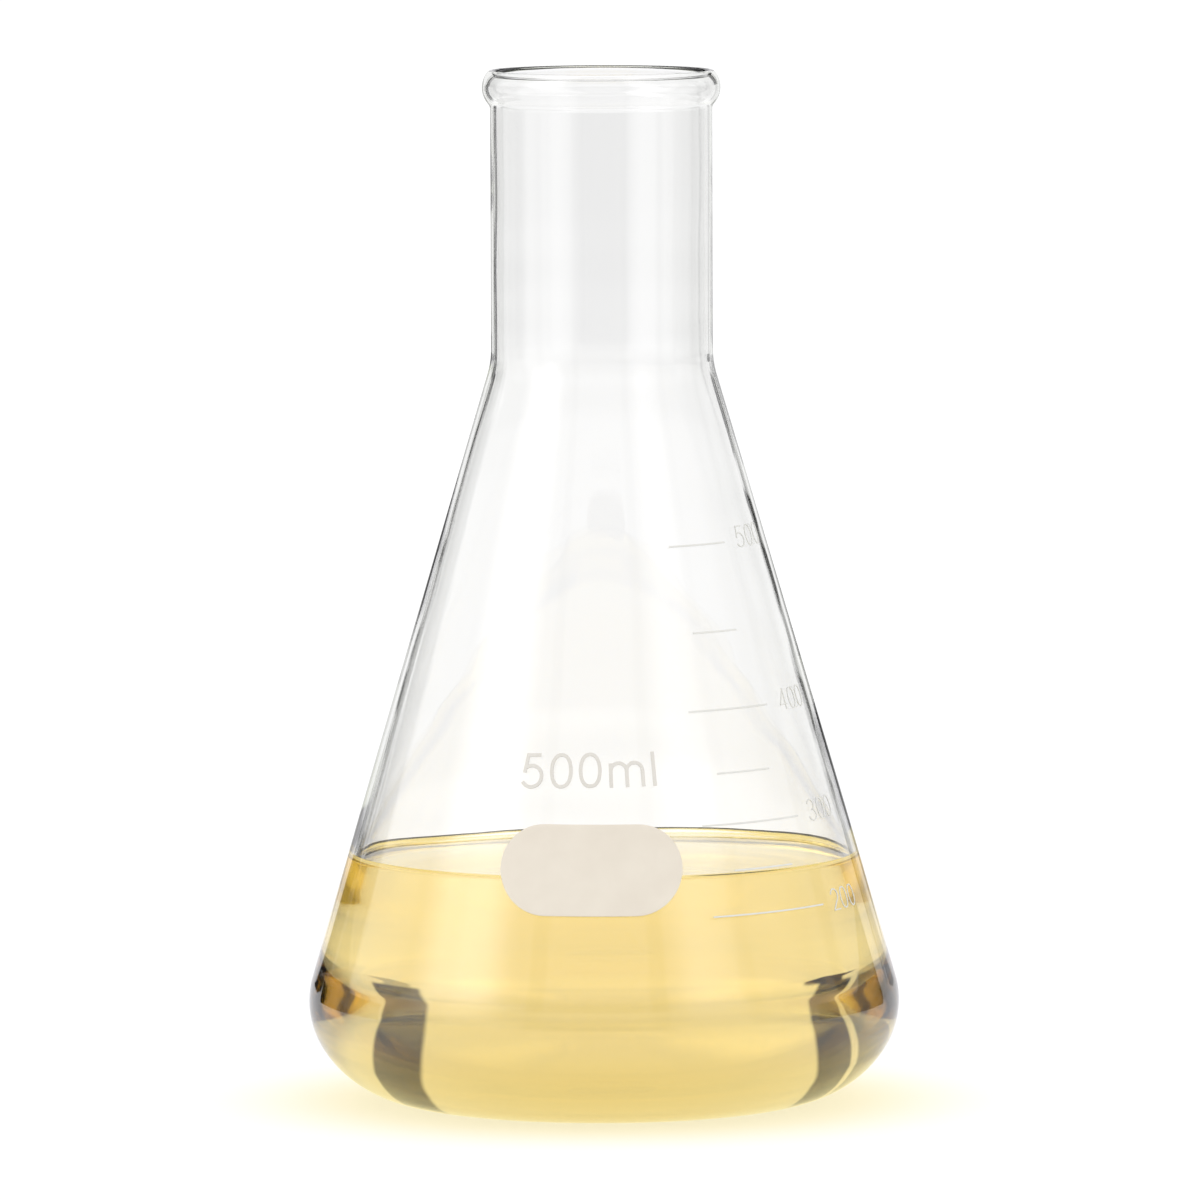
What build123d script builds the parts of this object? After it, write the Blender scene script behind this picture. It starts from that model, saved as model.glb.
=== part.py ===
from build123d import *

import os
from math import asin, atan2, cos, degrees, radians, sin, sqrt, tan

# A conical laboratory flask of blown glass, part filled with an amber liquid.
# Millimetres, +Z up. The origin is the centre of the circle that the flask stands on.
# The enamelled writing spot faces -Y, and the scale stands to the right of it, towards +X.

# Outside of the glass
body_diameter = 105.0        # at the heel's widest
overall_height = 183.3
cone_angle = 16.4            # side wall, from the vertical
neck_diameter = 39.3
shoulder_radius = 17.0       # soft bend where the neck meets the cone
heel_upper_radius = 15.6     # the heel's arc next to the cone
heel_lower_radius = 21.3     # the heel's arc next to the foot
heel_change_angle = 37.4     # below the horizontal, where one heel arc meets the other

# Thickness of the glass and shape of the base
wall_thickness = 1.2
base_thickness = 2.6
inner_heel_radius = 17.0
foot_ring_width = 4.0        # flat ring that touches the table
kick_height = 2.0            # rise of the base's middle above the table

# Rim bead
bead_projection = 1.45       # beyond the neck
bead_radius = 4.3            # of its outer bulge
bead_drop = 3.05             # from the top of the rim down to the bead's widest
bead_fillet_radius = 1.8     # where it runs out into the neck

# Liquid
liquid_level = 43.5
meniscus_rise = 1.0          # how far the liquid climbs the wall
meniscus_width = 1.6

# Enamel, fired on to the outside of the cone
enamel_thickness = 0.15
spot_width = 31.8
spot_height = 15.6
spot_level = 45.8            # height of the spot's middle
line_height = 0.3            # of one scale line
scale_angle = 26.7           # left end of the long lines, to the right of the spot's middle
top_line_angle = 24.4        # swept by the highest long line
bottom_line_angle = 30.7     # and by the lowest
short_line_angle = 16.6
level_500 = 100.9            # height of the line for 500 ml, and so on
level_450 = 85.9
level_400 = 72.6
level_350 = 61.8
level_300 = 53.1
level_250 = 45.2
level_200 = 37.6

# Sizes that follow from these
cone_slope = tan(radians(cone_angle))
cone_cosine = cos(radians(cone_angle))
neck_radius = neck_diameter / 2
bore_radius = neck_radius - wall_thickness

# The heel's two arcs, tangent to each other, to the cone and to the table
heel_change = radians(heel_change_angle)
heel_widest_level = heel_upper_radius * sin(heel_change) + heel_lower_radius * (1 - sin(heel_change))
heel_upper_centre = (body_diameter / 2 - heel_upper_radius, heel_widest_level)
foot_outer_radius = heel_upper_centre[0] - (heel_lower_radius - heel_upper_radius) * cos(heel_change)
foot_inner_radius = foot_outer_radius - foot_ring_width
heel_lower_centre = (foot_outer_radius, heel_lower_radius)


def cone_radius(level, depth=0.0):
    """Radius, at a level, of the surface that lies depth inside the cone's outer face."""
    at_heel = heel_upper_centre[0] + (heel_upper_radius - depth) / cone_cosine
    return at_heel + (heel_widest_level - level) * cone_slope


# The shoulder's centre stands outside the glass, level with the end of the straight neck
shoulder_level = (
    heel_widest_level
    + (cone_radius(heel_widest_level, -shoulder_radius) - neck_radius - shoulder_radius) / cone_slope
)
shoulder_centre = (neck_radius + shoulder_radius, shoulder_level)

# The inner heel is one arc, tangent to the inside of the cone and to the inside of the base
inner_heel_level = base_thickness + inner_heel_radius
inner_heel_centre = (
    cone_radius(inner_heel_level, wall_thickness + inner_heel_radius),
    inner_heel_level,
)

# The bead's bulge, and the fillet under it
bead_level = overall_height - bead_drop
bead_centre = (neck_radius + bead_projection - bead_radius, bead_level)
fillet_reach = neck_radius + bead_fillet_radius - bead_centre[0]
fillet_drop = sqrt((bead_radius + bead_fillet_radius) ** 2 - fillet_reach**2)
bead_fillet_centre = (neck_radius + bead_fillet_radius, bead_level - fillet_drop)
bead_foot_angle = degrees(atan2(fillet_drop, fillet_reach))

# The wall keeps its thickness as it rolls out into the bead, and ends in a half round at the top
crest_radius = wall_thickness / 2
crest_orbit = bead_radius - crest_radius
crest_angle = degrees(asin((bead_drop - crest_radius) / crest_orbit))
crest_centre = (
    bead_centre[0] + crest_orbit * cos(radians(crest_angle)),
    bead_centre[1] + crest_orbit * sin(radians(crest_angle)),
)


def draw_inside_of_base(cone_end_level):
    """Add the line of the glass's inside, from the axis out over the base and up the cone."""
    middle = (0, kick_height + base_thickness)
    TangentArc(middle, (foot_inner_radius, base_thickness), tangent=(1, 0))
    heel = CenterArc(inner_heel_centre, inner_heel_radius, -90, 90 + cone_angle)
    Line((foot_inner_radius, base_thickness), heel @ 0)
    Line(heel @ 1, (cone_radius(cone_end_level, wall_thickness), cone_end_level))


def radial_plane(azimuth):
    """Upright plane through the axis; azimuth 0 faces -Y and +90 faces +X."""
    turn = radians(azimuth)
    outward = (sin(turn), -cos(turn), 0)
    return Plane(origin=(0, 0, 0), x_dir=outward, z_dir=(outward[1], -outward[0], 0))


def draw_enamel_section(level, height):
    """Add the section of an enamel band that lies on the cone's outer face."""
    low = level - height / 2
    high = level + height / 2
    Polyline(
        (cone_radius(low), low),
        (cone_radius(low, -enamel_thickness), low),
        (cone_radius(high, -enamel_thickness), high),
        (cone_radius(high), high),
        close=True,
    )


# The flask, one piece of glass: its whole section is turned about the axis
inner_shoulder_radius = shoulder_radius + wall_thickness
inner_cone_end = shoulder_centre[1] - inner_shoulder_radius * sin(radians(cone_angle))

with BuildPart() as flask:
    with BuildSketch(Plane.XZ):
        with BuildLine():
            # Underside: the pushed-up middle and the flat foot ring
            TangentArc((0, kick_height), (foot_inner_radius, 0), tangent=(1, 0))
            Line((foot_inner_radius, 0), (foot_outer_radius, 0))
            # Outside, from the heel up to the rim
            CenterArc(heel_lower_centre, heel_lower_radius, -90, 90 - heel_change_angle)
            heel_top = CenterArc(
                heel_upper_centre, heel_upper_radius, -heel_change_angle, heel_change_angle + cone_angle
            )
            shoulder = CenterArc(shoulder_centre, shoulder_radius, 180 + cone_angle, -cone_angle)
            Line(heel_top @ 1, shoulder @ 0)
            bead_foot = CenterArc(bead_fillet_centre, bead_fillet_radius, 180, -bead_foot_angle)
            Line(shoulder @ 1, bead_foot @ 0)
            CenterArc(bead_centre, bead_radius, -bead_foot_angle, bead_foot_angle + crest_angle)
            # Over the crest, down inside the bead and into the bore
            CenterArc(crest_centre, crest_radius, crest_angle, 180)
            inner_bead_sweep = -crest_angle - bead_foot_angle
            CenterArc(bead_centre, bead_radius - wall_thickness, crest_angle, inner_bead_sweep)
            inner_fillet_radius = bead_fillet_radius + wall_thickness
            mouth = CenterArc(
                bead_fillet_centre, inner_fillet_radius, 180 - bead_foot_angle, bead_foot_angle
            )
            inner_shoulder = CenterArc(shoulder_centre, inner_shoulder_radius, 180, cone_angle)
            Line(mouth @ 1, inner_shoulder @ 0)
            # Inside of the cone, the heel and the base, and back along the axis
            draw_inside_of_base(inner_cone_end)
            Line((0, kick_height + base_thickness), (0, kick_height))
        make_face()
    revolve(axis=Axis.Z)

# The liquid fills the inside up to its level, with a meniscus at the wall
contact_level = liquid_level + meniscus_rise
contact_radius = cone_radius(contact_level, wall_thickness)

with BuildPart() as liquid:
    with BuildSketch(Plane.XZ):
        with BuildLine():
            draw_inside_of_base(contact_level)
            flat_end = (contact_radius - meniscus_width, liquid_level)
            TangentArc(flat_end, (contact_radius, contact_level), tangent=(1, 0))
            Line(flat_end, (0, liquid_level))
            Line((0, liquid_level), (0, kick_height + base_thickness))
        make_face()
    revolve(axis=Axis.Z)

# The writing spot: a band of enamel on the cone, cut to a stadium seen from the front
spot_half_angle = degrees(asin(spot_width / 2 / cone_radius(spot_level + spot_height / 2)))
band_half_angle = spot_half_angle + 5

with BuildPart() as marking_spot:
    with BuildSketch(radial_plane(-band_half_angle)):
        with BuildLine():
            draw_enamel_section(spot_level, spot_height)
        make_face()
    revolve(axis=Axis.Z, revolution_arc=2 * band_half_angle)
    with BuildSketch(Plane.XZ):
        with Locations((0, spot_level)):
            SlotOverall(spot_width, spot_height)
    extrude(amount=body_diameter, mode=Mode.INTERSECT)

# The scale: a long line for each full hundred, which widen down the cone, and a short one for each
# fifty between, centred on the long ones
long_line_levels = [level_500, level_400, level_300, level_200]
short_line_levels = [level_450, level_350, level_250]


def long_line_angle(level):
    """Angle that a long line sweeps at this level."""
    share = (level_500 - level) / (level_500 - level_200)
    return top_line_angle + share * (bottom_line_angle - top_line_angle)


with BuildPart() as graduation_lines:
    for level in long_line_levels + short_line_levels:
        sweep_angle = long_line_angle(level) if level in long_line_levels else short_line_angle
        middle_azimuth = scale_angle + long_line_angle(level) / 2
        with BuildSketch(radial_plane(middle_azimuth - sweep_angle / 2)):
            with BuildLine():
                draw_enamel_section(level, line_height)
            make_face()
        revolve(axis=Axis.Z, revolution_arc=sweep_angle)

flask.part.label = "flask"
liquid.part.label = "liquid"
marking_spot.part.label = "marking_spot"
graduation_lines.part.label = "graduation_lines"

os.makedirs("parts", exist_ok=True)
export_step(flask.part, "parts/flask.step")
export_step(liquid.part, "parts/liquid.step")
export_step(marking_spot.part, "parts/marking_spot.step")
export_step(graduation_lines.part, "parts/graduation_lines.step")

glass_volume = flask.part.volume / 1000
liquid_volume = liquid.part.volume / 1000
print(f"glass {glass_volume:.1f} ml, liquid {liquid_volume:.1f} ml")
print(f"bore radius {bore_radius:.3f}, straight from {shoulder_level:.2f} to {bead_fillet_centre[1]:.2f}")
print(f"foot ring from {foot_inner_radius:.2f} to {foot_outer_radius:.2f}")
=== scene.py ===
"""Looks of a conical laboratory flask: clear blown glass, an amber liquid and a fired-on print."""

from math import asin, atan2, cos, degrees, pi, radians, sin, sqrt, tan

import bmesh
import bpy
from mathutils import Matrix, Vector, noise


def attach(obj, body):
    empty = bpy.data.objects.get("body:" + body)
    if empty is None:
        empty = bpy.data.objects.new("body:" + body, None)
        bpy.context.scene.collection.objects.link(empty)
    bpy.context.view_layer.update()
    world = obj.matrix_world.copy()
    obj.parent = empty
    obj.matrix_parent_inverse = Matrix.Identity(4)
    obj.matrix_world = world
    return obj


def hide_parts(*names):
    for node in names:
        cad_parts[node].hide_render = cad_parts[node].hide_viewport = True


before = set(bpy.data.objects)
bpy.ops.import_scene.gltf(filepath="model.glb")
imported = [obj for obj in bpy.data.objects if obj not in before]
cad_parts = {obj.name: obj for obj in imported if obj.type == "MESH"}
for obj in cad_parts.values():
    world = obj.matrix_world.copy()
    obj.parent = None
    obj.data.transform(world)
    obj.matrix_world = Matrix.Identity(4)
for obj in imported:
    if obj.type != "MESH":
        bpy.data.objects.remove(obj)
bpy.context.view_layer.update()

MM = 0.001

# Sizes, in millimetres: the CAD's own, from which both work out the same section
CONE_ANGLE = 16.4
WALL = 1.2
NECK_RADIUS = 19.65
BORE_RADIUS = NECK_RADIUS - WALL
HEIGHT = 183.3
SHOULDER_RADIUS = 17.0
HEEL_UPPER_RADIUS = 15.6
HEEL_LOWER_RADIUS = 21.3
HEEL_CHANGE = 37.4
BODY_RADIUS = 52.5
BASE = 2.6
INNER_HEEL_RADIUS = 17.0
FOOT_RING = 4.0
KICK = 2.0
BEAD_PROJECTION = 1.45
BEAD_RADIUS = 4.3
BEAD_DROP = 3.05
BEAD_FILLET = 1.8
LIQUID_LEVEL = 43.5
MENISCUS_RISE = 1.0
MENISCUS_WIDTH = 1.6
CONTACT_LEVEL = LIQUID_LEVEL + MENISCUS_RISE

SLOPE = tan(radians(CONE_ANGLE))
COSINE = cos(radians(CONE_ANGLE))
WIDEST_LEVEL = HEEL_UPPER_RADIUS * sin(radians(HEEL_CHANGE)) + HEEL_LOWER_RADIUS * (
    1 - sin(radians(HEEL_CHANGE))
)
HEEL_UPPER = (BODY_RADIUS - HEEL_UPPER_RADIUS, WIDEST_LEVEL)
FOOT_OUTER = HEEL_UPPER[0] - (HEEL_LOWER_RADIUS - HEEL_UPPER_RADIUS) * cos(radians(HEEL_CHANGE))
FOOT_INNER = FOOT_OUTER - FOOT_RING
HEEL_LOWER = (FOOT_OUTER, HEEL_LOWER_RADIUS)


def cone_radius(level, depth=0.0):
    """Radius, at a level, of the surface that lies depth inside the cone's outer face."""
    at_heel = HEEL_UPPER[0] + (HEEL_UPPER_RADIUS - depth) / COSINE
    return at_heel + (WIDEST_LEVEL - level) * SLOPE


SHOULDER_LEVEL = (
    WIDEST_LEVEL + (cone_radius(WIDEST_LEVEL, -SHOULDER_RADIUS) - NECK_RADIUS - SHOULDER_RADIUS) / SLOPE
)
SHOULDER = (NECK_RADIUS + SHOULDER_RADIUS, SHOULDER_LEVEL)
BEAD_LEVEL = HEIGHT - BEAD_DROP
BEAD = (NECK_RADIUS + BEAD_PROJECTION - BEAD_RADIUS, BEAD_LEVEL)
FILLET_REACH = NECK_RADIUS + BEAD_FILLET - BEAD[0]
FILLET_DROP = sqrt((BEAD_RADIUS + BEAD_FILLET) ** 2 - FILLET_REACH**2)
FILLET = (NECK_RADIUS + BEAD_FILLET, BEAD_LEVEL - FILLET_DROP)
BEAD_FOOT_ANGLE = degrees(atan2(FILLET_DROP, FILLET_REACH))

# Sections: runs of points (radius, level) in millimetres
CONE_STEP = 1.1


def arc(centre, radius, start, sweep, steps):
    """Points on an arc, its start left out, so that runs can be added to each other."""
    angles = [radians(start + sweep * k / steps) for k in range(1, steps + 1)]
    return [(centre[0] + radius * cos(a), centre[1] + radius * sin(a)) for a in angles]


def run(start, end, steps):
    """Points on a straight run, its start left out."""
    return [
        (start[0] + (end[0] - start[0]) * k / steps, start[1] + (end[1] - start[1]) * k / steps)
        for k in range(1, steps + 1)
    ]


def dome(level, drop, radius, steps):
    """Points on a shallow arc from the axis at level out to radius, where it has dropped by drop."""
    big = (radius**2 + drop**2) / (2 * drop)
    points = []
    for k in range(1, steps + 1):
        r = radius * k / steps
        points.append((r, level - big + sqrt(big**2 - r**2)))
    return points


def inside_of_base(sink, cone_end):
    """The glass's inside from the axis up to a level on the cone; sink moves it into the glass."""
    centre_level = BASE + INNER_HEEL_RADIUS
    centre = (cone_radius(centre_level, WALL + INNER_HEEL_RADIUS), centre_level)
    points = [(0.0, KICK + BASE - sink)]
    points += dome(KICK + BASE - sink, KICK, FOOT_INNER, 20)
    points += run(points[-1], (centre[0], BASE - sink), 4)
    points += arc(centre, INNER_HEEL_RADIUS + sink, -90, 90 + CONE_ANGLE, 36)
    steps = max(4, int((cone_end - points[-1][1]) / CONE_STEP))
    points += run(points[-1], (cone_radius(cone_end, WALL - sink), cone_end), steps)
    return points


def glass_section():
    """The closed section of the glass, from the underside's middle round to the inside's middle."""
    crest_radius = WALL / 2
    crest_orbit = BEAD_RADIUS - crest_radius
    crest_angle = degrees(asin((HEIGHT - crest_radius - BEAD[1]) / crest_orbit))
    crest = (
        BEAD[0] + crest_orbit * cos(radians(crest_angle)),
        BEAD[1] + crest_orbit * sin(radians(crest_angle)),
    )
    points = [(0.0, KICK)]
    points += dome(KICK, KICK, FOOT_INNER, 22)
    points += run(points[-1], (FOOT_OUTER, 0.0), 3)
    points += arc(HEEL_LOWER, HEEL_LOWER_RADIUS, -90, 90 - HEEL_CHANGE, 20)
    points += arc(HEEL_UPPER, HEEL_UPPER_RADIUS, -HEEL_CHANGE, HEEL_CHANGE + CONE_ANGLE, 24)
    turn = radians(180 + CONE_ANGLE)
    shoulder_start = (
        SHOULDER[0] + SHOULDER_RADIUS * cos(turn),
        SHOULDER[1] + SHOULDER_RADIUS * sin(turn),
    )
    points += run(points[-1], shoulder_start, 24)
    points += arc(SHOULDER, SHOULDER_RADIUS, 180 + CONE_ANGLE, -CONE_ANGLE, 8)
    points += run(points[-1], (NECK_RADIUS, FILLET[1]), 8)
    points += arc(FILLET, BEAD_FILLET, 180, -BEAD_FOOT_ANGLE, 8)
    points += arc(BEAD, BEAD_RADIUS, -BEAD_FOOT_ANGLE, BEAD_FOOT_ANGLE + crest_angle, 24)
    points += arc(crest, crest_radius, crest_angle, 180, 12)
    points += arc(BEAD, BEAD_RADIUS - WALL, crest_angle, -crest_angle - BEAD_FOOT_ANGLE, 20)
    points += arc(FILLET, BEAD_FILLET + WALL, 180 - BEAD_FOOT_ANGLE, BEAD_FOOT_ANGLE, 10)
    points += run(points[-1], (BORE_RADIUS, SHOULDER[1]), 24)
    points += arc(SHOULDER, SHOULDER_RADIUS + WALL, 180, CONE_ANGLE, 8)
    contact = (cone_radius(CONTACT_LEVEL, WALL), CONTACT_LEVEL)
    points += run(points[-1], contact, 84)
    points += inside_of_base(0.0, CONTACT_LEVEL)[-2::-1]
    return points


def liquid_section(sink):
    """The closed section of the liquid, with its meniscus; its wet faces stand sink inside the glass."""
    wall_radius = cone_radius(CONTACT_LEVEL, WALL)
    points = inside_of_base(sink, CONTACT_LEVEL)
    big = (MENISCUS_WIDTH**2 + MENISCUS_RISE**2) / (2 * MENISCUS_RISE)
    centre = (wall_radius - MENISCUS_WIDTH, LIQUID_LEVEL + big)
    end_angle = degrees(atan2(CONTACT_LEVEL - centre[1], wall_radius - centre[0]))
    points += [(wall_radius, CONTACT_LEVEL)]
    points += arc(centre, big, end_angle, -90 - end_angle, 12)
    points += run(points[-1], (points[-1][0] - 0.4, LIQUID_LEVEL), 1)
    points += run(points[-1], (0.0, LIQUID_LEVEL), 10)
    return points


# Meshes
SEGMENTS = 256
ON_AXIS = 1e-6
# Blowing has moved the inside of the wall a little, in long waves and in rings, here in mm. The
# waves fade in above the heel and out below the rim.
LONG_WAVE = 0.16
RING_WAVE = 0.13
WAVES_START = 24.0
WAVES_END = 172.0
FADE_IN = 14.0
FADE_OUT = 12.0


def wall_wave(x, y, z):
    """How far, in mm, the inside of the wall has moved at a place."""
    fade = min(1.0, max(0.0, (z - WAVES_START) / FADE_IN))
    fade *= min(1.0, max(0.0, (WAVES_END - z) / FADE_OUT))
    long_wave = noise.noise(Vector((x * 0.035 + 3.1, y * 0.035 + 7.7, z * 0.045 + 1.3)))
    ring_wave = noise.noise(Vector((x * 0.018 + 9.2, y * 0.018 + 2.4, z * 0.13 + 5.9)))
    return fade * (LONG_WAVE * long_wave + RING_WAVE * ring_wave)


def add_object(name, data):
    """An object in the scene, from its data."""
    made = bpy.data.objects.new(name, data)
    bpy.context.scene.collection.objects.link(made)
    return made


def finish_mesh(name, build):
    """A mesh from what was built."""
    mesh = bpy.data.meshes.new(name)
    build.to_mesh(mesh)
    build.free()
    return mesh


def finish_piece(name, build):
    """A piece from what was built, with its faces turned outwards."""
    bmesh.ops.recalc_face_normals(build, faces=build.faces)
    return add_object(name, finish_mesh(name, build))


def lathe(name, section, waved):
    """A closed mesh turned from a section that starts and ends on the axis.

    waved(r, z) says which of the section's points move with the wall's waves.
    """
    build = bmesh.new()
    rings = []
    for r, z in section:
        if r < ON_AXIS:
            rings.append([build.verts.new((0, 0, z * MM))])
            continue
        ring = []
        for k in range(SEGMENTS):
            angle = 2 * pi * k / SEGMENTS
            x, y = r * cos(angle), r * sin(angle)
            if waved(r, z):
                grown = 1 + wall_wave(x, y, z) / r
                x, y = x * grown, y * grown
            ring.append(build.verts.new((x * MM, y * MM, z * MM)))
        rings.append(ring)
    for one, two in zip(rings, rings[1:]):
        for k in range(SEGMENTS):
            n = (k + 1) % SEGMENTS
            if len(one) == 1:
                face = build.faces.new((one[0], two[n], two[k]))
            elif len(two) == 1:
                face = build.faces.new((one[k], one[n], two[0]))
            else:
                face = build.faces.new((one[k], one[n], two[n], two[k]))
            face.smooth = True
    return finish_piece(name, build)


def on_cone(azimuth, level, height):
    """The point at an azimuth (0 faces -Y) and level, height above the cone's outer face, in metres."""
    r = cone_radius(level) + height * COSINE
    turn = radians(azimuth)
    return Vector((r * sin(turn) * MM, -r * cos(turn) * MM, (level + height * SLOPE * COSINE) * MM))


# What counts as the inside of the wall: in the cone, a point above this height and this near to
# the inner face; in the neck, a point further in than this from the outer face
WALL_START = 20.0
WALL_REACH = 0.35
NECK_REACH = 0.5


def is_inner_cone(r, z):
    """True on the inside of the cone."""
    return z > WALL_START and abs(r - cone_radius(z, WALL)) < WALL_REACH


def is_inner_wall(r, z):
    """True on the inside of the neck or the cone."""
    if z > SHOULDER_LEVEL:
        return r < NECK_RADIUS - NECK_REACH
    return is_inner_cone(r, z)


# The liquid's wall reaches a little into the glass, so that light bends from one into the other
GLASS_SINK = 0.05
flask = lathe("flask_glass", glass_section(), is_inner_wall)
liquid = lathe("flask_liquid", liquid_section(GLASS_SINK), is_inner_cone)

# Print: how high the enamel stands and how far its back reaches into the glass, and what each
# further coat adds to both
ENAMEL_HEIGHT = 0.11
ENAMEL_SINK = 0.03
COAT_RISE = 0.007
COAT_SINK = 0.004


def ribbon(build, points, width, place, closed=False, coat=0):
    """A stroke of enamel along points of the flat print; place takes (across, up, height) to the glass.

    Strokes that cross have their own coat, so that no two faces lie in one place.
    """
    count = len(points)
    low = ENAMEL_SINK + COAT_SINK * coat
    high = ENAMEL_HEIGHT + COAT_RISE * coat
    # Round the stroke's section: a share of its half width, with a height
    profile = ((1, -low), (1, 0.6 * high), (0.8, high), (-0.8, high), (-1, 0.6 * high), (-1, -low))
    sections = []
    for k in range(count):
        before = points[(k - 1) % count] if closed or k > 0 else points[k]
        after = points[(k + 1) % count] if closed or k < count - 1 else points[k]
        along = Vector((after[0] - before[0], after[1] - before[1])).normalized()
        side = Vector((-along[1], along[0])) * width / 2
        u, v = points[k]
        corners = []
        for share, height in profile:
            corners.append(build.verts.new(place(u + side[0] * share, v + side[1] * share, height)))
        sections.append(corners)
    pairs = list(zip(sections, sections[1:]))
    if closed:
        pairs.append((sections[-1], sections[0]))
    for one, two in pairs:
        for k in range(len(profile)):
            n = (k + 1) % len(profile)
            build.faces.new((one[k], two[k], two[n], one[n]))
    if not closed:
        build.faces.new(list(reversed(sections[0])))
        build.faces.new(sections[-1])


def curve(centre, radii, start, sweep, steps):
    """Points on an elliptic arc, both ends in it."""
    return [
        (
            centre[0] + radii[0] * cos(radians(start + sweep * k / steps)),
            centre[1] + radii[1] * sin(radians(start + sweep * k / steps)),
        )
        for k in range(steps + 1)
    ]


def straight(start, end, steps=6):
    """Points on a straight stroke, both ends in it."""
    return [start] + run(start, end, steps)


def superellipse(width, height, steps=40):
    """A numeral 0 as round as the print's: an ellipse with slightly flat sides."""
    points = []
    for k in range(steps):
        a = 2 * pi * k / steps
        c, s = cos(a), sin(a)
        x = abs(c) ** 0.86 * (1 if c >= 0 else -1)
        y = abs(s) ** 0.92 * (1 if s >= 0 else -1)
        points.append((width / 2 + x * width / 2, height / 2 + y * height / 2))
    return points


def glyph(sign, w, h):
    """The strokes of a sign in a box w wide and h high, measured on the middle of its strokes."""
    if sign == "0":
        return [(superellipse(w, h), True)]
    if sign == "5":
        bowl = curve((0.44 * w, 0.335 * h), (0.56 * w, 0.335 * h), 128, -128, 14)
        bowl += curve((0.44 * w, 0.335 * h), (0.56 * w, 0.335 * h), 0, -150, 16)[1:]
        return [
            (straight((0.93 * w, h), (0.12 * w, h)), False),
            (straight((0.2 * w, h), (0.04 * w, 0.45 * h)), False),
            (bowl, False),
        ]
    if sign == "4":
        return [
            (straight((0.74 * w, 0), (0.74 * w, 1.04 * h)), False),
            (straight((0.74 * w, h), (0, 0.27 * h)), False),
            (straight((-0.06 * w, 0.27 * h), (w, 0.27 * h)), False),
        ]
    if sign == "3":
        top = curve((0.47 * w, 0.75 * h), (0.45 * w, 0.25 * h), 160, -250, 16)
        low = curve((0.47 * w, 0.27 * h), (0.53 * w, 0.27 * h), 90, -255, 18)
        return [(top + low[1:], False)]
    if sign == "2":
        top = curve((0.48 * w, 0.7 * h), (0.5 * w, 0.3 * h), 168, -200, 18)
        return [
            (top + run(top[-1], (0.06 * w, 0.04 * h), 5), False),
            (straight((0, 0), (w, 0)), False),
        ]
    if sign == "m":
        # Stem and two arches, each an arc with a leg
        arch = w / 4
        strokes = [(straight((0, 0), (0, h)), False)]
        for k in (0, 1):
            left = 2 * arch * k
            bow = curve((left + arch, h - arch), (arch, arch), 180, -180, 14)
            strokes.append((bow + run(bow[-1], (left + 2 * arch, 0), 5), False))
        return strokes
    if sign == "l":
        return [(straight((0, 0), (0, h)), False)]
    raise ValueError(sign)


def place_print(azimuth, level, tilt=0.0):
    """Takes the flat print's millimetres to the cone: its start stands at azimuth on level."""
    radius = cone_radius(level)
    c, s = cos(radians(tilt)), sin(radians(tilt))

    def place(u, v, height):
        across, up = u * c - v * s, u * s + v * c
        return on_cone(azimuth + degrees(across / radius), level + up * COSINE, height)

    return place


PRINT_TILT = 1.5

# The capacity, above the writing spot: each sign with its left edge, width and height
CAPACITY = (
    ("5", 0.0, 3.3, 5.65),
    ("0", 5.15, 3.45, 5.65),
    ("0", 10.35, 3.45, 5.65),
    ("m", 15.75, 5.7, 4.3),
    ("l", 23.5, 0.0, 6.1),
)
CAPACITY_AZIMUTH = -17.2
CAPACITY_LEVEL = 59.5
CAPACITY_STROKE = 0.66
NUMERAL_BASE = 0.35

build = bmesh.new()
placing = place_print(CAPACITY_AZIMUTH, CAPACITY_LEVEL, PRINT_TILT)
for sign, left, w, h in CAPACITY:
    base = 0.0 if sign in "ml" else NUMERAL_BASE
    for coat, (points, closed) in enumerate(glyph(sign, w, h)):
        moved = [(u + left, v + base) for u, v in points]
        ribbon(build, moved, CAPACITY_STROKE, placing, closed, coat)
capacity = finish_piece("capacity_print", build)

# The scale's numbers, each with its azimuth and level
NUMBERS = (("500", 58.6, 99.7), ("400", 60.2, 71.2), ("300", 60.8, 51.9), ("200", 61.3, 36.3))
NUMBER_WIDTH = 2.3
NUMBER_HEIGHT = 3.7
NUMBER_PITCH = 3.3
NUMBER_BASE = 0.2
NUMBER_STROKE = 0.24

build = bmesh.new()
for text, azimuth, level in NUMBERS:
    placing = place_print(azimuth, level, PRINT_TILT)
    for k, sign in enumerate(text):
        for coat, (points, closed) in enumerate(glyph(sign, NUMBER_WIDTH, NUMBER_HEIGHT)):
            moved = [(u + NUMBER_PITCH * k, v + NUMBER_BASE) for u, v in points]
            ribbon(build, moved, NUMBER_STROKE, placing, closed, coat)
numbers = finish_piece("scale_numbers", build)

# The scale's lines, with the CAD's angles
LEVELS = {500: 100.9, 450: 85.9, 400: 72.6, 350: 61.8, 300: 53.1, 250: 45.2, 200: 37.6}
SCALE_ANGLE = 26.7
TOP_LINE_ANGLE = 24.4
BOTTOM_LINE_ANGLE = 30.7
SHORT_LINE_ANGLE = 16.6
LINE_HEIGHT = 0.3
LINE_TILT = 1.0

build = bmesh.new()
for volume, level in LEVELS.items():
    share = (LEVELS[500] - level) / (LEVELS[500] - LEVELS[200])
    long_sweep = TOP_LINE_ANGLE + share * (BOTTOM_LINE_ANGLE - TOP_LINE_ANGLE)
    sweep = long_sweep if volume % 100 == 0 else SHORT_LINE_ANGLE
    middle = SCALE_ANGLE + long_sweep / 2
    length = radians(sweep) * cone_radius(level)
    placing = place_print(middle, level, LINE_TILT)
    ribbon(build, straight((-length / 2, 0), (length / 2, 0), 48), LINE_HEIGHT, placing)
lines = finish_piece("scale_lines", build)

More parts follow.
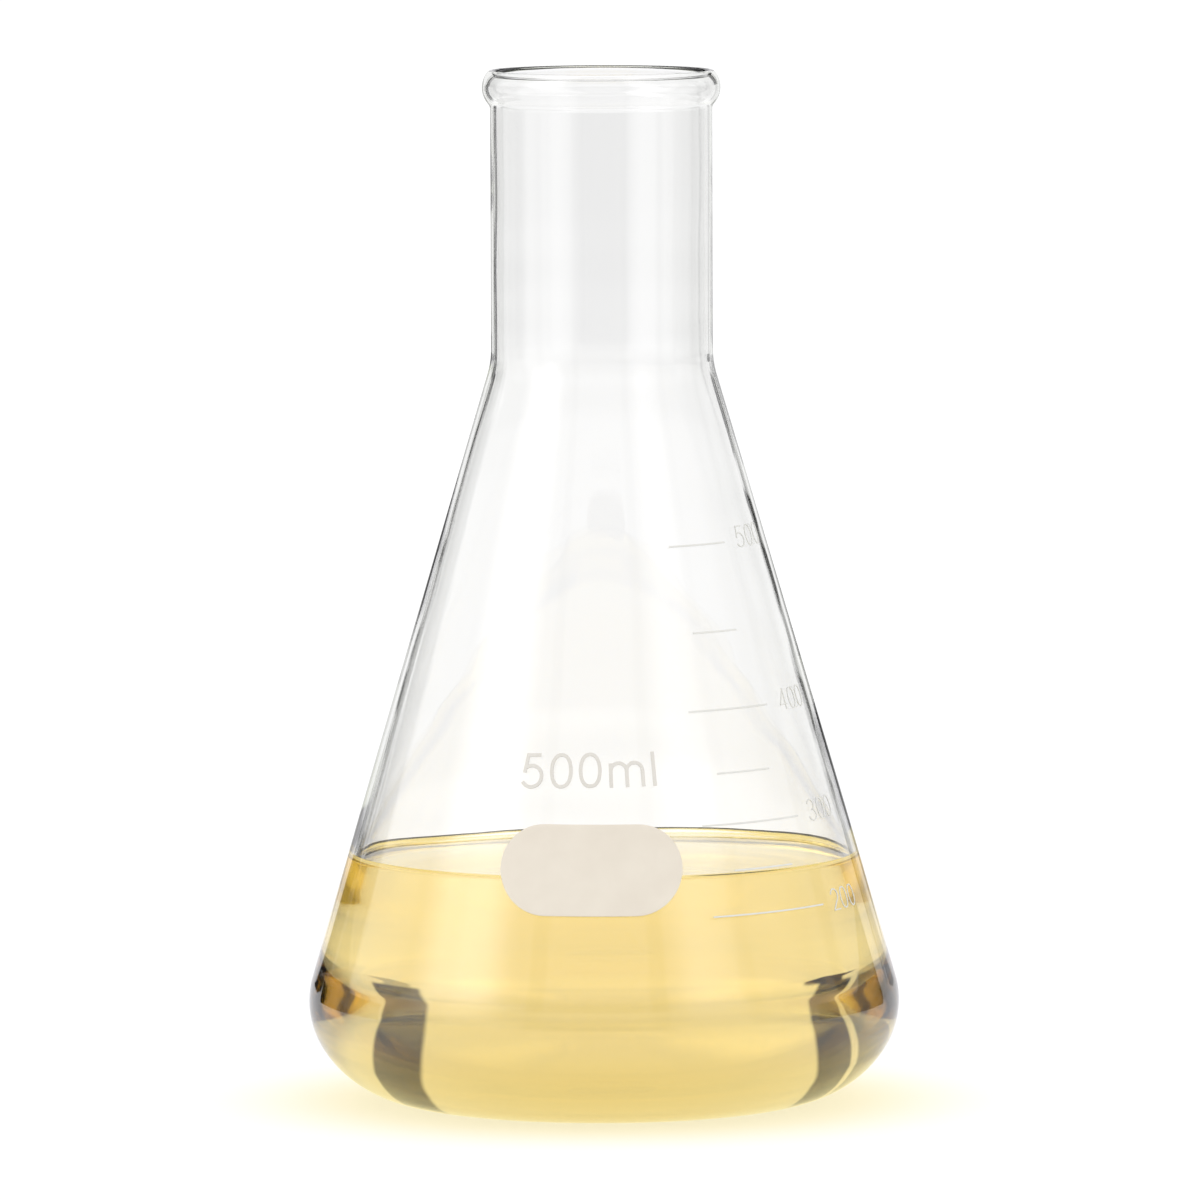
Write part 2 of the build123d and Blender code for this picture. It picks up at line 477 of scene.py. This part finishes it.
# The writing spot: rings of a stadium, set in from its outline, first on its back from the middle
# outwards and then on its face from the edge inwards
SPOT_WIDTH, SPOT_HEIGHT, SPOT_LEVEL = 31.8, 15.6, 45.8
SPOT_END_STEPS = 28
SPOT_RUN_STEPS = 20
SPOT_INSETS = (0.0, 0.03, 0.09, 0.18, 0.3, 0.6, 1.4, 2.6, 4.0, 5.4, 6.6, 7.5)
SPOT_EDGE = 0.3


def spot_ring(inset, height):
    """A stadium seen from the front, set in by inset, as points on the cone."""
    half = SPOT_HEIGHT / 2
    straight_half = SPOT_WIDTH / 2 - half
    radius = half - inset
    flat = curve((straight_half, 0), (radius, radius), -90, 180, SPOT_END_STEPS)
    flat += run(flat[-1], (-straight_half, radius), SPOT_RUN_STEPS)
    flat += curve((-straight_half, 0), (radius, radius), 90, 180, SPOT_END_STEPS)[1:]
    flat += run(flat[-1], (straight_half, -radius), SPOT_RUN_STEPS)[:-1]
    ring = []
    for x, up in flat:
        level = SPOT_LEVEL + up
        ring.append(on_cone(degrees(asin(x / cone_radius(level))), level, height))
    return ring


build = bmesh.new()
rings = []
for inset in reversed(SPOT_INSETS):
    rings.append(spot_ring(inset, -ENAMEL_SINK))
for inset in SPOT_INSETS:
    rise = min(1.0, inset / SPOT_EDGE)
    rings.append(spot_ring(inset, 0.3 * ENAMEL_HEIGHT + 0.7 * ENAMEL_HEIGHT * sqrt(1 - (1 - rise) ** 2)))
vertex_rings = [[build.verts.new(p) for p in ring] for ring in rings]
for one, two in zip(vertex_rings, vertex_rings[1:]):
    for k in range(len(one)):
        n = (k + 1) % len(one)
        build.faces.new((one[k], one[n], two[n], two[k]))
for ring in (vertex_rings[0], vertex_rings[-1]):
    # Each point and its mirror across the stadium's long axis, from one tip to the other
    tip = SPOT_END_STEPS // 2
    for i in range(tip, tip + len(ring) // 2):
        mirror = (SPOT_END_STEPS - i) % len(ring)
        next_mirror = (SPOT_END_STEPS - i - 1) % len(ring)
        corners = [ring[i], ring[i + 1], ring[next_mirror], ring[mirror]]
        build.faces.new(list(dict.fromkeys(corners)))
for face in build.faces:
    face.smooth = True
spot = finish_piece("writing_spot", build)


# Materials
def new_material(name):
    """A node material, with its nodes, its links and its Principled shader."""
    material = bpy.data.materials.new(name)
    material.use_nodes = True
    nodes, links = material.node_tree.nodes, material.node_tree.links
    return material, nodes, links, nodes["Principled BSDF"]


def add_waviness(nodes, links, shader, scale, distance):
    """A soft unevenness of the surface, as a bump in metres."""
    place = nodes.new("ShaderNodeTexCoord")
    pattern = nodes.new("ShaderNodeTexNoise")
    pattern.inputs["Scale"].default_value = scale
    pattern.inputs["Detail"].default_value = 2.0
    bump = nodes.new("ShaderNodeBump")
    bump.inputs["Strength"].default_value = 1.0
    bump.inputs["Distance"].default_value = distance
    links.new(place.outputs["Object"], pattern.inputs["Vector"])
    links.new(pattern.outputs["Fac"], bump.inputs["Height"])
    links.new(bump.outputs["Normal"], shader.inputs["Normal"])


def clear_material(name, ior, absorbed, density, scale, distance):
    """A clear solid or liquid that takes light by depth: absorbed is the colour that stays."""
    material, nodes, links, shader = new_material(name)
    shader.inputs["Base Color"].default_value = (1, 1, 1, 1)
    shader.inputs["Roughness"].default_value = 0.0
    shader.inputs["IOR"].default_value = ior
    shader.inputs["Transmission Weight"].default_value = 1.0
    volume = nodes.new("ShaderNodeVolumeAbsorption")
    volume.inputs["Color"].default_value = (*absorbed, 1)
    volume.inputs["Density"].default_value = density
    links.new(volume.outputs["Volume"], nodes["Material Output"].inputs["Volume"])
    add_waviness(nodes, links, shader, scale, distance)
    return material


glass_material = clear_material("borosilicate", 1.473, (0.52, 0.66, 0.02), 15.0, 70.0, 0.00002)
liquid_material = clear_material("amber_liquid", 1.333, (0.945, 0.765, 0.05), 16.0, 30.0, 0.000002)


def enamel_material(name, dark, light):
    """Fired enamel: a cloudy tone between two colours, and a fine grain."""
    material, nodes, links, shader = new_material(name)
    coordinates = nodes.new("ShaderNodeTexCoord")
    cloud = nodes.new("ShaderNodeTexNoise")
    cloud.inputs["Scale"].default_value = 140.0
    cloud.inputs["Detail"].default_value = 5.0
    specks = nodes.new("ShaderNodeTexVoronoi")
    specks.inputs["Scale"].default_value = 420.0
    ramp = nodes.new("ShaderNodeValToRGB")
    ramp.color_ramp.elements[0].position = 0.3
    ramp.color_ramp.elements[0].color = (*dark, 1)
    ramp.color_ramp.elements[1].position = 0.7
    ramp.color_ramp.elements[1].color = (*light, 1)
    links.new(coordinates.outputs["Object"], cloud.inputs["Vector"])
    links.new(coordinates.outputs["Object"], specks.inputs["Vector"])
    links.new(cloud.outputs["Fac"], ramp.inputs["Fac"])
    links.new(ramp.outputs["Color"], shader.inputs["Base Color"])
    shader.inputs["Roughness"].default_value = 0.45
    grain = nodes.new("ShaderNodeBump")
    grain.inputs["Strength"].default_value = 0.5
    grain.inputs["Distance"].default_value = 0.00003
    links.new(specks.outputs["Distance"], grain.inputs["Height"])
    links.new(grain.outputs["Normal"], shader.inputs["Normal"])
    return material


spot_material = enamel_material("spot_enamel", (0.82, 0.745, 0.635), (0.868, 0.797, 0.685))
print_material = enamel_material("print_enamel", (0.76, 0.73, 0.67), (0.80, 0.77, 0.71))
scale_material = enamel_material("scale_enamel", (0.80, 0.795, 0.75), (0.845, 0.84, 0.795))

for piece, material in (
    (flask, glass_material),
    (liquid, liquid_material),
    (spot, spot_material),
    (lines, scale_material),
    (capacity, print_material),
    (numbers, scale_material),
):
    piece.data.materials.append(material)
    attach(piece, "root")

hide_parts("flask")
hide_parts("liquid")
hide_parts("marking_spot")
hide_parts("graduation_lines")


# Floor, backdrop and light
# A light tent: white floor and walls, with narrow gaps between the walls' panels. The gaps are dark,
# and bent light that comes from them draws the glass's edges. Only glass and reflections see them.
# A gap is where it starts and ends, in degrees from +Y towards +X, and how dark it is.
WIDE_GAPS = (
    (62.0, 70.0, 0.6),
    (110.0, 118.0, 0.6),
    (-118.0, -110.0, 0.6),
    (151.0, 158.0, 0.6),
    (-158.0, -151.0, 0.6),
)
LOW_GAPS = WIDE_GAPS + ((-35.5, -26.5, 1.0), (-60.0, -41.0, 0.35), (19.5, 25.0, 0.45))
HIGH_GAPS = WIDE_GAPS + ((-38.5, -29.5, 1.0), (-60.0, -41.0, 0.8), (18.0, 28.0, 1.0))
GAP_EDGE = 0.6
GAP_DARKNESS = 0.97
# The back wall's light near the floor and above, and where the front takes over, in degrees from +Y
BACK_LOW = 0.98
BACK_HIGH = 0.93
FRONT_START = 88.0
FRONT_FULL = 95.0
TENT_COLOUR = (0.985, 0.98, 1.0, 1)


class Tree:
    """Short ways to add and link a node tree's nodes."""

    def __init__(self, tree):
        self.nodes, self.links = tree.nodes, tree.links
        self.nodes.clear()

    def add(self, kind, operation=None, values=(), **settings):
        node = self.nodes.new(kind)
        if operation:
            node.operation = operation
        for name, value in settings.items():
            setattr(node, name, value)
        for index, value in enumerate(values):
            if isinstance(value, bpy.types.NodeSocket):
                self.links.new(value, node.inputs[index])
            elif value is not None:
                node.inputs[index].default_value = value
        return node

    def math(self, operation, *values):
        return self.add("ShaderNodeMath", operation, values).outputs[0]

    def times(self, one, two):
        return self.math("MULTIPLY", one, two)

    def plus(self, one, two):
        return self.math("ADD", one, two)

    def smooth(self, value, low, high, to_low=0.0, to_high=1.0):
        """to_low below low, to_high above high, and a soft step between."""
        values = (value, low, high, to_low, to_high)
        return self.add("ShaderNodeMapRange", None, values, interpolation_type="SMOOTHSTEP").outputs[0]

    def between(self, value, low, low_end, high_start, high):
        """1 between two soft edges, and 0 outside them."""
        rise = self.smooth(value, low, low_end)
        fall = self.smooth(value, high_start, high, 1.0, 0.0)
        return self.times(rise, fall)

    def mix(self, factor, one, two):
        return self.add("ShaderNodeMixShader", None, (factor, one, two)).outputs[0]

    def tint(self, factor, one, two):
        """A colour between two."""
        node = self.add("ShaderNodeMix", data_type="RGBA")
        self.links.new(factor, node.inputs["Factor"])
        node.inputs["A"].default_value = one
        node.inputs["B"].default_value = two
        return node.outputs["Result"]

    def seen_by_glass(self, path):
        return self.math("MAXIMUM", path.outputs["Is Glossy Ray"], path.outputs["Is Transmission Ray"])

    def direction_angles(self, vector):
        """Azimuth, in degrees from +Y towards +X, and z of a vector."""
        x, y, z = self.add("ShaderNodeSeparateXYZ", None, (vector,)).outputs
        return self.times(self.math("ARCTAN2", x, y), 180 / pi), z

    def walls(self, azimuth, gaps):
        """1 on the tent's panels, and less in the gaps between them."""
        light = None
        for start, end, depth in gaps:
            rise = self.smooth(azimuth, start - GAP_EDGE, start + GAP_EDGE)
            fall = self.smooth(azimuth, end - GAP_EDGE, end + GAP_EDGE)
            inside = self.math("SUBTRACT", rise, fall)
            kept = self.math("MULTIPLY_ADD", inside, -GAP_DARKNESS * depth, 1.0)
            light = kept if light is None else self.times(light, kept)
        return light

    def tent_foot(self, azimuth, off_back, back, gaps):
        """The tent's light at the level of the floor, for each azimuth; back is the back wall's."""
        wall = self.smooth(off_back, FRONT_START, FRONT_FULL, back, 0.6)
        wall = self.math("SUBTRACT", wall, self.smooth(off_back, 30.0, 75.0, 0.0, 0.15))
        right_dip = self.times(self.between(azimuth, 34.0, 45.0, 80.0, 95.0), 0.35)
        wall = self.math("SUBTRACT", wall, right_dip)
        return self.times(wall, self.walls(azimuth, gaps))

    def low_panels(self, azimuth):
        """Light panels at the left and right of the front, near the floor."""
        left = self.between(azimuth, -166.0, -134.0, -95.0, -91.0)
        right = self.times(self.between(azimuth, 78.0, 134.0, 134.0, 166.0), 0.85)
        return self.times(self.plus(left, right), 0.95)

    def high_panels(self, azimuth):
        """Light panels above those, of which the left one is the brighter."""
        left = self.times(self.between(azimuth, -147.0, -126.0, -116.0, -91.0), 1.9)
        right = self.times(self.between(azimuth, 105.0, 135.0, 136.0, 152.0), 0.9)
        return self.plus(left, right)

    def tent(self, azimuth, z):
        """The tent's light for a direction: higher up, the front and its light panels are brighter."""
        off_back = self.math("ABSOLUTE", azimuth)
        foot = self.tent_foot(azimuth, off_back, BACK_LOW, LOW_GAPS)
        upper = self.tent_foot(azimuth, off_back, BACK_HIGH, HIGH_GAPS)
        step = self.math("SUBTRACT", upper, foot)
        foot = self.math("MULTIPLY_ADD", step, self.smooth(z, 0.01, 0.045), foot)
        low = self.times(self.low_panels(azimuth), self.smooth(z, 0.05, 0.25, 1.0, 0.0))
        high = self.times(self.high_panels(azimuth), self.smooth(z, 0.05, 0.25))
        front = self.smooth(off_back, FRONT_START, FRONT_FULL)
        front = self.times(front, self.smooth(z, 0.05, 0.45, 0.0, 0.85))
        sides = self.between(off_back, 38.0, 50.0, FRONT_START, FRONT_FULL)
        sides = self.times(sides, self.smooth(z, 0.08, 0.24, 0.0, 0.35))
        wall = self.plus(self.plus(foot, front), self.plus(sides, self.plus(low, high)))
        return self.math("MAXIMUM", wall, self.smooth(z, 0.4, 0.56, 0.0, 0.95))


# The floor: near the flask it is white; far out, a flat ray meets the tent's lower edge instead.
# Its matte part gets the real light that has passed through the liquid. On top of that, a pale yellow
# ring round the foot is painted into its colour, a painted glow that stands in for that light.
NEAR_END = 0.45
FAR_START = 0.7
# Where the painted glow ring starts and ends, in metres from the axis, and the painted yellow it gives
# the floor as seen by glass and by the camera
PAINTED_GLOW_START = 0.042
PAINTED_GLOW_END = 0.076
PAINTED_GLOW_TO_GLASS = (0.98, 0.88, 0.5, 1)
PAINTED_GLOW_TO_CAMERA = (1.1, 1.0, 0.68, 1)
FLOOR_RADIUS = 12.0
NEAR_LIGHT = 1.05
FLOOR_TONE = (0.85, 0.85, 0.85, 1)
CAMERA_FLOOR_TONE = (0.28, 0.28, 0.28, 1)
CAMERA_FLOOR_LIFT = 0.78

floor_material = bpy.data.materials.new("studio_floor")
floor_material.use_nodes = True
tree = Tree(floor_material.node_tree)
path = tree.add("ShaderNodeLightPath")
place = tree.add("ShaderNodeTexCoord").outputs["Object"]
azimuth = tree.direction_angles(place)[0]
radius = tree.add("ShaderNodeVectorMath", "LENGTH", (place,)).outputs["Value"]
off_back = tree.math("ABSOLUTE", azimuth)
near = tree.smooth(radius, NEAR_END, FAR_START, NEAR_LIGHT, 0.0)
back = tree.smooth(radius, 1.2, 3.0, BACK_LOW, BACK_HIGH)
far = tree.plus(tree.tent_foot(azimuth, off_back, back, LOW_GAPS), tree.low_panels(azimuth))
far = tree.times(tree.smooth(radius, NEAR_END, FAR_START), far)
level = tree.plus(near, far)
# Painted glow: the floor's colour turns pale yellow round the foot, both for glass and for the camera
painted_glow = tree.smooth(radius, PAINTED_GLOW_START, PAINTED_GLOW_END, 1.0, 0.0)
tinted_by_painted_glow = tree.tint(painted_glow, TENT_COLOUR, PAINTED_GLOW_TO_GLASS)
ring = tree.tint(painted_glow, (1, 1, 1, 1), PAINTED_GLOW_TO_CAMERA)
matte = tree.add("ShaderNodeBsdfDiffuse", None, (FLOOR_TONE,)).outputs[0]
weak_matte = tree.add("ShaderNodeBsdfDiffuse", None, (CAMERA_FLOOR_TONE,)).outputs[0]
lift = tree.add("ShaderNodeEmission", None, (ring, CAMERA_FLOOR_LIFT)).outputs[0]
for_camera = tree.add("ShaderNodeAddShader", None, (weak_matte, lift)).outputs[0]
for_glass = tree.add("ShaderNodeEmission", None, (tinted_by_painted_glow, level)).outputs[0]
shown = tree.mix(path.outputs["Is Camera Ray"], matte, for_camera)
shown = tree.mix(tree.seen_by_glass(path), shown, for_glass)
tree.add("ShaderNodeOutputMaterial", None, (shown,))

build = bmesh.new()
bmesh.ops.create_circle(build, cap_ends=True, segments=96, radius=FLOOR_RADIUS)
floor = add_object("studio_floor", finish_mesh("studio_floor", build))
floor.location = (0, 0, -0.0001)
floor.data.materials.append(floor_material)

# The world: white to the camera, plain soft light to the object, and the tent to glass
SOFT_LIGHT = 1.04

world = bpy.data.worlds.new("studio")
bpy.context.scene.world = world
world.use_nodes = True
tree = Tree(world.node_tree)
path = tree.add("ShaderNodeLightPath")
azimuth, z = tree.direction_angles(tree.add("ShaderNodeTexCoord").outputs["Generated"])
glass_light = tree.tent(azimuth, z)
soft = tree.add("ShaderNodeBackground", None, ((1, 1, 1, 1), SOFT_LIGHT)).outputs[0]
tent = tree.add("ShaderNodeBackground", None, (TENT_COLOUR, glass_light)).outputs[0]
tree.add("ShaderNodeOutputWorld", None, (tree.mix(tree.seen_by_glass(path), soft, tent),))

# Dark shades that only reflections see. The heel reflects the low ones at both sides of the table,
# which keeps its amber deep. The two behind the flask draw a thin line along its outline, and their
# tone changes with height. A tone is a height in metres with its light.
LOW_TONES = ((0.0, 0.02),)
LEFT_TONES = ((0.0, 0.6), (0.055, 0.6), (0.075, 0.15), (0.09, 0.15), (0.11, 0.4))
RIGHT_TONES = (
    (0.0, 0.35),
    (0.02, 0.35),
    (0.035, 0.2),
    (0.05, 0.05),
    (0.07, 0.12),
    (0.085, 0.5),
    (0.11, 0.8),
)
# Each shade's azimuth from +Y and sweep, in degrees, its distance and height, and its tones
SHADES = (
    ("shade_left", -92.0, 46.0, 0.3, 0.065, LOW_TONES),
    ("shade_right", 46.0, 46.0, 0.3, 0.065, LOW_TONES),
    ("outline_shade_left", -23.0, 16.0, 0.6, 0.2, LEFT_TONES),
    ("outline_shade_right", 1.5, 15.5, 0.6, 0.2, RIGHT_TONES),
)
SHADE_STEPS = 12


def shade_material(name, tones):
    """Light that changes with height."""
    material = bpy.data.materials.new(name)
    material.use_nodes = True
    tree = Tree(material.node_tree)
    place = tree.add("ShaderNodeTexCoord").outputs["Object"]
    height = tree.add("ShaderNodeSeparateXYZ", None, (place,)).outputs["Z"]
    strength = tones[0][1]
    for (low, below), (high, above) in zip(tones, tones[1:]):
        strength = tree.plus(strength, tree.smooth(height, low, high, 0.0, above - below))
    emission = tree.add("ShaderNodeEmission", None, (None, strength)).outputs[0]
    tree.add("ShaderNodeOutputMaterial", None, (emission,))
    return material


for name, start, sweep, distance, height, tones in SHADES:
    build = bmesh.new()
    low, high = [], []
    for k in range(SHADE_STEPS + 1):
        turn = radians(start + sweep * k / SHADE_STEPS)
        low.append(build.verts.new((distance * sin(turn), distance * cos(turn), 0.0)))
        high.append(build.verts.new((distance * sin(turn), distance * cos(turn), height)))
    for k in range(SHADE_STEPS):
        build.faces.new((low[k], low[k + 1], high[k + 1], high[k]))
    shade = add_object(name, finish_mesh(name, build))
    shade.data.materials.append(shade_material(name, tones))
    for ray in ("camera", "diffuse", "transmission", "volume_scatter", "shadow"):
        setattr(shade, "visible_" + ray, False)

# Camera, fitted to the photograph's viewing angle
CAMERA_PLACE = Vector((0.10956, -2.16270, 0.27906))
CAMERA_TARGET = Vector((-0.0004994, -0.0000253, 0.08919))
CAMERA_ROLL = -0.191

camera_data = bpy.data.cameras.new("camera")
camera_data.sensor_width = 36.0
camera_data.lens = 367.31
camera_data.clip_end = 100.0
camera = add_object("camera", camera_data)
aim = (CAMERA_TARGET - CAMERA_PLACE).to_track_quat("-Z", "Y").to_matrix().to_4x4()
camera.matrix_world = (
    Matrix.Translation(CAMERA_PLACE) @ aim @ Matrix.Rotation(radians(CAMERA_ROLL), 4, "Z")
)
scene = bpy.context.scene
scene.camera = camera
scene.view_settings.view_transform = "Standard"
scene.cycles.max_bounces = 32
scene.cycles.transmission_bounces = 32
scene.cycles.glossy_bounces = 16
